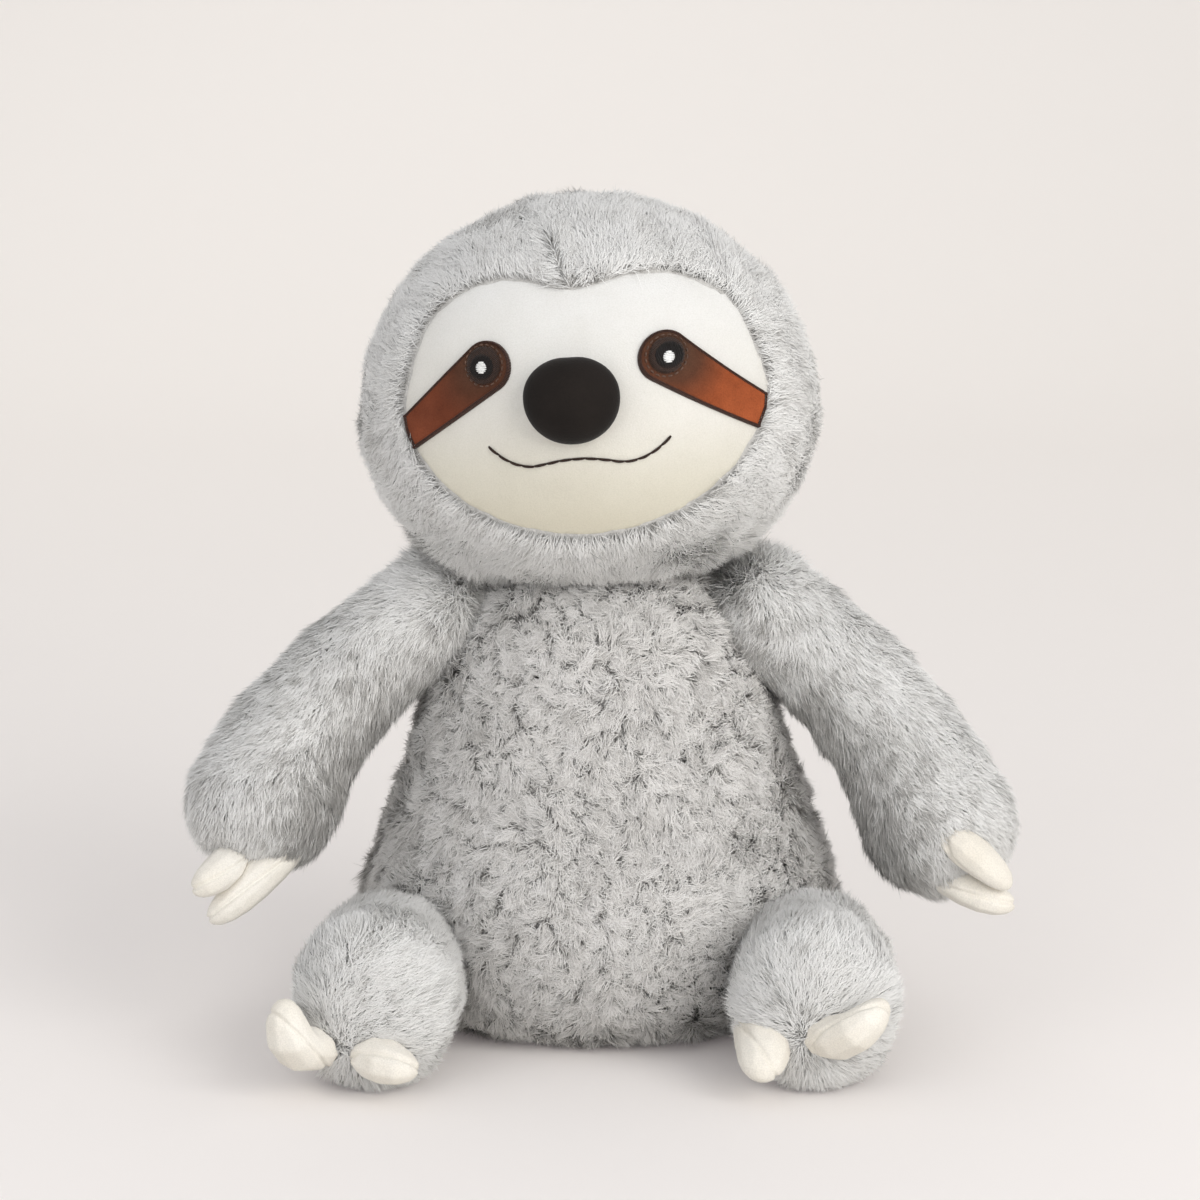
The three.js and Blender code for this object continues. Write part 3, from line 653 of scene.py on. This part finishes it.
def grow_coat(name, body, backing, coat, comb, neighbours, material, seed, claws=(), keep=None, shade=None):
    """Fur over a backing: strands lean along the comb's directions and gather in tufts."""
    rng = np.random.default_rng(seed)
    density = STRANDS_PER_AREA * 1
    roots, normals = on_surface(backing.data, density, rng)
    tuft_roots, tuft_normals = on_surface(backing.data, TUFTS_PER_AREA, rng)
    if keep is not None:
        wanted = keep(roots)
        roots, normals = roots[wanted], normals[wanted]
    seams = (neighbours, SEAM_MARGIN, SEATED_DEPTH)
    for forms, margin, depth in (seams, (claws, CLAW_MARGIN, CLAW_MARGIN)):
        if forms:
            wanted = clear_of(tree_of(*forms), roots, margin, depth)
            roots, normals = roots[wanted], normals[wanted]

    def field(points, wavelength, number):
        return waves(points, wavelength, 14, np.random.default_rng(seed + number))[:, None]

    def tip_of(points, directions):
        swirl = np.hstack([field(points, SWIRL_WAVE, number) for number in range(3)])
        course = coat["order"] * comb(points) + coat["swirl"] * swirl
        course += coat["scatter"] * rng.normal(size=points.shape)
        length = coat["pile"] * (1 + 0.18 * field(points, LENGTH_WAVE, 7))
        length = length * rng.uniform(0.75, 1.15, (len(points), 1))
        length *= 1 + 0.8 * crease(points)
        rise = coat["rise"] + 0.14 * field(points, RISE_WAVE, 9) + 0.2 * crease(points)
        return points + length * (rise * directions + np.sqrt(1 - rise**2) * flattened(course, directions))

    tuft_tips = tip_of(tuft_roots, tuft_normals)
    tuft_tones = rng.normal(size=len(tuft_roots))
    nearest = nearest_of(tuft_roots, roots)
    pull = rng.uniform(*coat["pull"], (len(roots), 1))
    tips = (1 - pull) * tip_of(roots, normals) + pull * tuft_tips[nearest]
    tips += TIP_SCATTER * rng.normal(size=tips.shape)
    stems = coat["pile"] * 0.42 * unit(normals + 0.3 * rng.normal(size=normals.shape))
    widths = STRAND_WIDTH * rng.uniform(0.7, 1.35, len(roots))
    tones = 0.5 + 0.16 * rng.normal(size=len(roots)) + 0.14 * tuft_tones[nearest]
    tones += 0.1 * waves(roots, TONE_WAVE, 12, rng)
    # A shade function lowers some strands' tones: painted shade
    if shade is not None:
        tones -= shade(roots, normals)
    tones = np.clip(tones, 0.02, 0.98)
    pieces = math.ceil(len(roots) / STRANDS_PER_PIECE)
    order = rng.permutation(len(roots))
    for number, part in enumerate(np.array_split(order, pieces)):
        parts = (array[part] for array in (roots, tips, normals, stems, widths, tones))
        add_piece(blade_mesh(f"{name}_{number + 1}", *parts, rng), material, body)


# Head


def head_frame():
    """The head's own axes: its middle line up, its nose toward -Y, from the neck's joint."""
    joint = JOINTS["neck_turn"]
    axis = Vector(joint["axis"])
    tilt = Matrix.Rotation(math.atan2(axis.x, axis.z), 4, "Y")
    return Matrix.Translation(Vector(joint["pos_m"])) @ tilt @ Matrix.Rotation(HEAD_TURN, 4, "Z")


HEAD = head_frame()
HEAD_INVERSE = HEAD.inverted()
face_tree = tree_of(NODES["face_panel"])


def on_face(x, z, tree=face_tree):
    """The face's surface and normal at a place seen straight from the front of the head, or None."""
    start = HEAD @ Vector((x, -0.2, z))
    ahead = (HEAD.to_3x3() @ Vector((0, 1, 0))).normalized()
    place, normal, _, _ = tree.ray_cast(start, ahead)
    if place is None:
        return None
    return place, normal if normal.dot(ahead) < 0 else -normal


def face_reach(angle):
    """How far the face panel reaches from its middle in a direction seen from the front."""
    low, high = 0.0, 0.0
    while high < FACE_REACH:
        high += FACE_STEP
        if on_face(FACE_MIDDLE.x + high * math.cos(angle), FACE_MIDDLE.y + high * math.sin(angle)):
            low = high
    return low


def off_face(points):
    """Which points of the head lie outside its face."""
    free = np.ones(len(points), bool)
    for at, point in enumerate(points):
        local = HEAD_INVERSE @ Vector(point)
        found = on_face(local.x, local.z) if local.y < 0 else None
        free[at] = found is None
    return free


def rings_mesh(name, rings, middle):
    """A closed fan of faces: rings of vertices from the outside in, and a middle vertex."""
    size = len(rings[0])
    vertices = [place for ring in rings for place in ring] + [middle]
    faces = []
    for low in range(0, (len(rings) - 1) * size, size):
        for at in range(size):
            after = (at + 1) % size
            faces.append((low + at, low + after, low + size + after, low + size + at))
    last = (len(rings) - 1) * size
    faces += [(last + at, last + (at + 1) % size, len(vertices) - 1) for at in range(size)]
    mesh = bpy.data.meshes.new(name)
    mesh.from_pydata([tuple(place) for place in vertices], [], faces)
    mesh.polygons.foreach_set("use_smooth", [True] * len(faces))
    mesh.update()
    return mesh


def add_face(material):
    """The mask: a smooth skin over the panel whose edge is turned in under the fur."""
    angles = [2 * math.pi * at / FACE_ANGLES for at in range(FACE_ANGLES)]
    reaches = [face_reach(angle) - FACE_EDGE_GAP for angle in angles]
    inward = HEAD.to_3x3() @ Vector((0, 1, 0))
    rings = []
    for ring in range(FACE_RINGS):
        share = 1 - ring / FACE_RINGS
        level = []
        for angle, reach in zip(angles, reaches):
            x = FACE_MIDDLE.x + share * reach * math.cos(angle)
            z = FACE_MIDDLE.y + share * reach * math.sin(angle)
            level.append(on_face(x, z)[0])
        rings.append(level)
    middle = on_face(*FACE_MIDDLE)[0]
    surface = np.array([[tuple(place) for place in ring] for ring in rings])
    for _ in range(FACE_SMOOTHING):
        around = (np.roll(surface, 1, 1) + np.roll(surface, -1, 1)) / 2
        surface[1:-1] = (surface[1:-1] + around[1:-1] + surface[:-2] + surface[2:]) / 4
    tucked = [
        [Vector(place) + 0.0035 * inward + 0.0012 * outward(Vector(place)) for place in surface[0]],
        [Vector(place) + 0.0010 * inward + 0.0009 * outward(Vector(place)) for place in surface[0]],
    ]
    mesh = rings_mesh("face", tucked + [list(map(Vector, ring)) for ring in surface], middle)
    face = add_piece(mesh, material, "head")
    solid = face.modifiers.new("thickness", "SOLIDIFY")
    solid.thickness = FACE_THICKNESS
    solid.offset = -1
    applied(face)
    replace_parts(face, "face_panel")
    return face


def outward(place):
    """The direction away from the face's middle, seen from the front, at a place on the head."""
    local = HEAD_INVERSE @ place
    away = Vector((local.x - FACE_MIDDLE.x, 0, local.z - FACE_MIDDLE.y))
    return (HEAD.to_3x3() @ away).normalized()


def outline_of(node):
    """A node's outline seen from the front of the head, as a convex loop of [x, z]."""
    places = [HEAD_INVERSE @ vertex.co for vertex in NODES[node].data.vertices]
    points = sorted({(round(place.x, 6), round(place.z, 6)) for place in places})
    loop = []
    for sequence in (points, points[::-1]):
        half = []
        for point in sequence:
            while len(half) > 1 and turn(half[-2], half[-1], point) <= 0:
                half.pop()
            half.append(point)
        loop += half[:-1]
    return loop


def turn(a, b, c):
    """Above zero where the way from a over b to c turns left."""
    return (b[0] - a[0]) * (c[1] - a[1]) - (b[1] - a[1]) * (c[0] - a[0])


def evenly(loop, count):
    """Points at even distances along a closed loop."""
    ring = np.array(loop + loop[:1])
    steps = np.linalg.norm(np.diff(ring, axis=0), axis=1)
    gone = np.concatenate([[0], np.cumsum(steps)])
    wanted = np.linspace(0, gone[-1], count, endpoint=False)
    return np.stack([np.interp(wanted, gone, ring[:, at]) for at in range(2)], axis=1)


def add_applique(node, material, low, high, surface):
    """A flat piece of cloth on the face with a rounded edge, from its node's outline."""
    loop = evenly(outline_of(node), APPLIQUE_POINTS)
    middle = loop.mean(0)
    size = np.linalg.norm(loop - middle, axis=1).mean()
    tree = tree_of(surface)
    rings = []
    for step in range(15):
        inset = APPLIQUE_EDGE * min(step, 4) / 4 / size
        share = 1 - inset if step <= 4 else (1 - inset) * (1 - (step - 4) / 11)
        height = low + (high - low) * math.sin(math.radians(90) * min(step, 4) / 4)
        ring = []
        for x, z in middle + share * (loop - middle):
            found = on_face(x, z, tree)
            if found is None:
                raise ValueError(f"{node} leaves the face at {x}, {z}")
            place, normal = found
            ring.append(place + height * normal)
        rings.append(ring)
    place, normal = on_face(*middle, tree)
    mesh = rings_mesh(f"{node}_cloth", rings, place + high * normal)
    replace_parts(add_piece(mesh, material, "head"), node)


def sewn(points, low, high, tree):
    """A thread's course over the face: its ends lie low, its middle high."""
    course = []
    for at, (x, z) in enumerate(points):
        place, normal = on_face(x, z, tree)
        height = low + (high - low) * math.sin(math.pi * at / (len(points) - 1)) ** 0.5
        course.append((place + height * normal, normal))
    return course


def thread_rings(course, radius):
    """Rings of vertices round a course, narrow at both ends."""
    rings = []
    for at, (place, normal) in enumerate(course):
        before, after = course[max(at - 1, 0)][0], course[min(at + 1, len(course) - 1)][0]
        across = (after - before).cross(normal).normalized()
        share = at / (len(course) - 1)
        reach = radius * (0.6 + 0.4 * math.sin(math.pi * share) ** 0.5)
        ring = []
        for side in range(THREAD_SIDES):
            angle = 2 * math.pi * side / THREAD_SIDES
            ring.append(place + reach * (math.cos(angle) * across + math.sin(angle) * normal))
        rings.append(ring)
    return rings


def add_threads(name, courses, radius, material):
    """One piece made of every thread whose course is given."""
    vertices = []
    faces = []
    sides = THREAD_SIDES
    for course in courses:
        first = len(vertices)
        rings = thread_rings(course, radius)
        vertices += [tuple(place) for ring in rings for place in ring]
        for level in range(len(rings) - 1):
            low = first + level * sides
            for at in range(sides):
                after = (at + 1) % sides
                faces.append((low + at, low + after, low + sides + after, low + sides + at))
        last = first + (len(rings) - 1) * sides
        faces.append(tuple(first + at for at in reversed(range(sides))))
        faces.append(tuple(last + at for at in range(sides)))
    mesh = bpy.data.meshes.new(name)
    mesh.from_pydata(vertices, [], faces)
    mesh.polygons.foreach_set("use_smooth", [True] * len(faces))
    return add_piece(mesh, material, "head")


def add_satin(node, angle, low, material, tree):
    """Satin stitch over an eye's round layer: close threads from edge to edge."""
    loop = np.array(outline_of(node))
    middle = loop.mean(0)
    radius = np.linalg.norm(loop - middle, axis=1).max()
    along = np.array([math.cos(angle), math.sin(angle)])
    across = np.array([-along[1], along[0]])
    rows = int(2 * radius / SATIN_SPACING)
    courses = []
    for row in range(rows):
        offset = (row + 0.5) * 2 * radius / rows - radius
        reach = math.sqrt(radius**2 - offset**2)
        points = [middle + offset * across + share * reach * along for share in np.linspace(-1, 1, 9)]
        courses.append(sewn(points, low, low + SATIN_RADIUS, tree))
    add_threads(f"{node}_satin", courses, SATIN_RADIUS, material)


def add_eye_ring(node, material, tree):
    """Small stitches in a ring round an eye."""
    middle = np.array(outline_of(node)).mean(0)
    count = round(2 * math.pi * RING_RADIUS / RING_STEP)
    courses = []
    for number in range(count):
        angles = 2 * math.pi * (number + np.linspace(0.14, 0.86, 5)) / count
        points = middle + RING_RADIUS * np.stack([np.cos(angles), np.sin(angles)], axis=1)
        courses.append(sewn(points, EYE_HEIGHT - 0.0002, EYE_HEIGHT + SATIN_RADIUS, tree))
    add_threads(f"{node}_ring", courses, SATIN_RADIUS, material)


def add_border(node, material, tree):
    """The close stitches that hold a patch's edge down."""
    loop = outline_of(node)
    length = sum(math.dist(a, b) for a, b in zip(loop, loop[1:] + loop[:1]))
    ring = evenly(loop, int(length / SATIN_SPACING))
    along = np.roll(ring, -1, 0) - np.roll(ring, 1, 0)
    outside = np.stack([along[:, 1], -along[:, 0]], axis=1)
    outside /= np.linalg.norm(outside, axis=1)[:, None]
    courses = []
    for point, away in zip(ring, outside):
        ends = [point + share * BORDER_WIDTH * away for share in (0.12, -0.2, -0.5, -0.88)]
        found = [on_face(x, z, tree) for x, z in ends]
        if None in found:
            continue
        heights = [0.0, EYE_HEIGHT, EYE_HEIGHT + 0.0004, EYE_HEIGHT - 0.0001]
        courses.append([(place + high * normal, normal) for high, (place, normal) in zip(heights, found)])
    add_threads(f"{node}_border", courses, SATIN_RADIUS, material)


def add_mouth(material, tree):
    """The mouth's line in backstitches, along the middle of its node."""
    local = np.array([HEAD_INVERSE @ v.co for v in NODES["mouth_stitch"].data.vertices])
    order = local[local[:, 0].argsort()]
    groups = np.array_split(order, MOUTH_POINTS)
    line = np.array([[part[:, 0].mean(), (part[:, 2].min() + part[:, 2].max()) / 2] for part in groups])
    steps = np.linalg.norm(np.diff(line, axis=0), axis=1)
    gone = np.concatenate([[0], np.cumsum(steps)])
    count = round(gone[-1] / (STITCH_LENGTH + STITCH_GAP))
    courses = []
    for number in range(count):
        start, end = ((number + share) * gone[-1] / count for share in (-0.02, 1.02))
        along = np.linspace(start, end, 9)
        points = np.stack([np.interp(along, gone, line[:, at]) for at in range(2)], axis=1)
        courses.append(sewn(points, 0.0, STITCH_RADIUS * 0.8, tree))
    piece = add_threads("mouth_backstitches", courses, STITCH_RADIUS, material)
    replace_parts(piece, "mouth_stitch")


def add_nose(material):
    """A sewn cushion: a rounded block, a little wider above, with a dent at the top of its front."""
    local = np.array([HEAD_INVERSE @ v.co for v in NODES["nose"].data.vertices])
    low, high = local.min(0), local.max(0)
    middle = (low + high) / 2
    half = (high - low) / 2
    half[1] = half[1] * 1.12
    middle[1] = low[1] + half[1]
    rings = []
    for band in range(1, NOSE_BANDS):
        around = math.pi * band / NOSE_BANDS
        ring = []
        for side in range(NOSE_SIDES):
            angle = 2 * math.pi * side / NOSE_SIDES
            x, z = math.sin(around) * math.cos(angle), math.sin(around) * math.sin(angle)
            y = -math.cos(around)
            square = (abs(x) ** NOSE_SQUARENESS + abs(z) ** NOSE_SQUARENESS) ** (1 / NOSE_SQUARENESS)
            full = math.hypot(x, z) / square if square > 0 else 1
            dent = NOSE_DENT * math.exp(-((x / 0.22) ** 2)) * max(0, z) ** 2
            place = middle + half * np.array([x * full * (1 + 0.05 * z), y, z * full * (1 - dent)])
            ring.append(HEAD @ Vector(place))
        rings.append(ring)
    front = HEAD @ Vector(middle + half * np.array([0, -1, 0]))
    piece = add_piece(rings_mesh("nose_cushion", rings[::-1], front), material, "head")
    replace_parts(piece, "nose")


# Limbs and claws


def comb_along(direction):
    """The same direction everywhere."""
    return lambda points: np.tile(unit(np.array([direction], float)), (len(points), 1))


def parted(comb, middle, across, strength):
    """A comb that parts beside a seam, the plane through a place and square to a direction."""
    def directions(points):
        away = (points - np.array(middle)) @ np.array(across)
        near = np.exp(-((away / SEAM_REACH) ** 2)) * strength(points)
        return comb(points) + (np.sign(away) * near)[:, None] * np.array(across)
    return directions


def brow_seam(points):
    """How strongly the head's fur parts: only from the face's dip to a little above it."""
    above = np.clip((points[:, 2] - 0.195) / 0.004, 0, 1) * np.clip((0.227 - points[:, 2]) / 0.012, 0, 1)
    return 2 * above * (points[:, 1] < 0)


def belly_seam(points):
    """How strongly the torso's fur parts: only low on the front."""
    return 1.3 * np.clip((0.07 - points[:, 2]) / 0.03, 0, 1) * (points[:, 1] < 0)


def comb_from(place, extra=(0, 0, 0)):
    """Directions away from a place."""
    return lambda points: unit(points - np.array(place)) + np.array(extra)


def inner_side_shade(points, normals):
    """Painted shade: how much darker the strands of an arm are toward the torso, where arm and body shade
    each other.
    """
    return 0.55 * np.clip(0.2 - np.sign(points[:, 0]) * normals[:, 0], 0, 1)


def middle_of(objects):
    """The mean place of several objects' vertices."""
    return np.concatenate([corners_of(obj.data) for obj in objects]).mean(0)


def press_seam(mesh):
    """Sinks the seam round a claw's outline, where the plane of its bend cuts its surface."""
    places = corners_of(mesh)
    offsets = places - places.mean(0)
    plane = np.linalg.svd(offsets[:: max(1, len(offsets) // 4000)], full_matrices=False)[2][2]
    away = offsets @ plane
    depth = CLAW_SEAM_DEPTH * np.exp(-((away / CLAW_SEAM_WIDTH) ** 2))
    set_corners(mesh, places - depth[:, None] * normals_of(mesh))


def add_claw(node, body, material):
    """A stuffed velour claw with its seam pressed in."""
    form = grown_form(f"{node}_velour", [node], CLAW_VOXEL, 6, 0)
    form.data.materials.append(material)
    soft = form.modifiers.new("soft", "SUBSURF")
    soft.levels = 1
    soft.render_levels = 1
    applied(form)
    press_seam(form.data)
    form.data.polygons.foreach_set("use_smooth", [True] * len(form.data.polygons))
    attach(form, body)
    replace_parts(form, node)
    return form


def add_backing(name, body, nodes, replaced, material):
    """The stuffed cloth form that a coat of fur grows on."""
    form = grown_form(name, nodes, FORM_VOXEL, 8, BACKING_INSET)
    form.data.materials.append(material)
    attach(form, body)
    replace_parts(form, replaced)
    return form


# The whole toy

bpy.context.scene.view_settings.view_transform = "Standard"
add_camera()
add_lights()
add_world()
add_backdrop(floor_material())

pale = pale_plush()
marbled = marbled_plush()
backing = backing_material()
cream = face_material()
claw_cream = velour_material("claw_velour", (0.77, 0.72, 0.63), (0.86, 0.825, 0.755), 0.2)
black = velour_material("black_velour", (0.007, 0.005, 0.004), (0.016, 0.012, 0.010), 0.10)
dark_thread = thread_material("dark_thread", (0.034, 0.017, 0.011))
brown_thread = thread_material("brown_thread", (0.060, 0.024, 0.015))
iris_thread = thread_material("iris_thread", (0.050, 0.027, 0.019), 0.5)
tan_thread = thread_material("tan_thread", (0.15, 0.085, 0.06))
black_thread = thread_material("black_thread", (0.010, 0.007, 0.006), 0.45)
white_thread = thread_material("white_thread", (0.93, 0.93, 0.91), 0.45, 0.85)
fibre = fibre_material()

torso_nodes = ["torso_skin", "torso_stuffing", "seat_pouch"]
head_nodes = ["head_skin", "head_stuffing", "face_panel"]
torso = add_backing("torso_backing", "torso", torso_nodes, "torso_skin", backing)
head = add_backing("head_backing", "head", head_nodes, "head_skin", backing)
limbs = {}
claws = {}
for side in ("left", "right"):
    for kind in ("arm", "leg"):
        body = f"{kind}_{side}"
        nodes = [f"{body}_skin", f"{body}_stuffing"]
        limbs[body] = add_backing(f"{body}_backing", body, nodes, f"{body}_skin", backing)
        claws[body] = [add_claw(f"{body}_claw_{number}", body, claw_cream) for number in (1, 2)]

face = add_face(cream)
face_surface = tree_of(face)
for side, sign in (("left", 1), ("right", -1)):
    eye = NODES[f"eye_pupil_{side}"].data.vertices[0].co
    # Each side gets its own copy of the brown velour; the left copy is lighter, as painted light
    brown = patch_material(f"brown_velour_{side}", eye, CHEEK_BROWNS_WITH_PAINTED_LIGHT[side])
    add_applique(f"eye_patch_{side}", brown, -0.0004, EYE_HEIGHT, face)
    add_applique(f"eye_iris_{side}", iris_thread, 0.0, IRIS_HEIGHT, face)
    add_applique(f"eye_pupil_{side}", black, 0.0, PUPIL_HEIGHT, face)
    add_applique(f"eye_highlight_{side}", white_thread, 0.0, HIGHLIGHT_HEIGHT, face)
    add_border(f"eye_patch_{side}", brown_thread, face_surface)
    add_eye_ring(f"eye_iris_{side}", tan_thread, face_surface)
    add_satin(f"eye_iris_{side}", sign * 0.6, IRIS_HEIGHT, iris_thread, face_surface)
    add_satin(f"eye_pupil_{side}", sign * 1.3, PUPIL_HEIGHT, black_thread, face_surface)
    add_satin(f"eye_highlight_{side}", 0.0, HIGHLIGHT_HEIGHT, white_thread, face_surface)
add_nose(black)
add_mouth(dark_thread, face_surface)

face_middle = HEAD @ Vector((FACE_MIDDLE.x, -0.03, FACE_MIDDLE.y))
dip = HEAD @ Vector((FACE_MIDDLE.x, -0.03, FACE_MIDDLE.y + 0.03))
brow_across = tuple(HEAD.to_3x3() @ Vector((0.9, 0, 0.45)).normalized())
head_comb = parted(comb_from(face_middle), dip, brow_across, brow_seam)
body_comb = parted(comb_along((0, 0.45, -1)), (0.0015, 0, 0), (1, 0, 0), belly_seam)
grow_coat("torso_fur", "torso", torso, TUFTED_COAT, body_comb, [head, *limbs.values()], marbled, 11)
grow_coat("head_fur", "head", head, SMOOTH_COAT, head_comb, [torso], pale, 23, keep=off_face)
limb_roots = {joint["child"]: joint["pos_m"] for joint in JOINTS.values()}
for number, (body, form) in enumerate(limbs.items()):
    comb, shade = comb_from(middle_of(claws[body])), None
    if body.startswith("arm"):
        comb, shade = comb_from(limb_roots[body], (0, 0.2, -0.6)), inner_side_shade
    seed = 31 + number
    grow_coat(f"{body}_fur", body, form, SMOOTH_COAT, comb, [torso], pale, seed, claws[body], shade=shade)

for node, obj in NODES.items():
    if node.endswith("_stuffing") or node == "seat_pouch":
        obj.data.materials.clear()
        obj.data.materials.append(fibre)
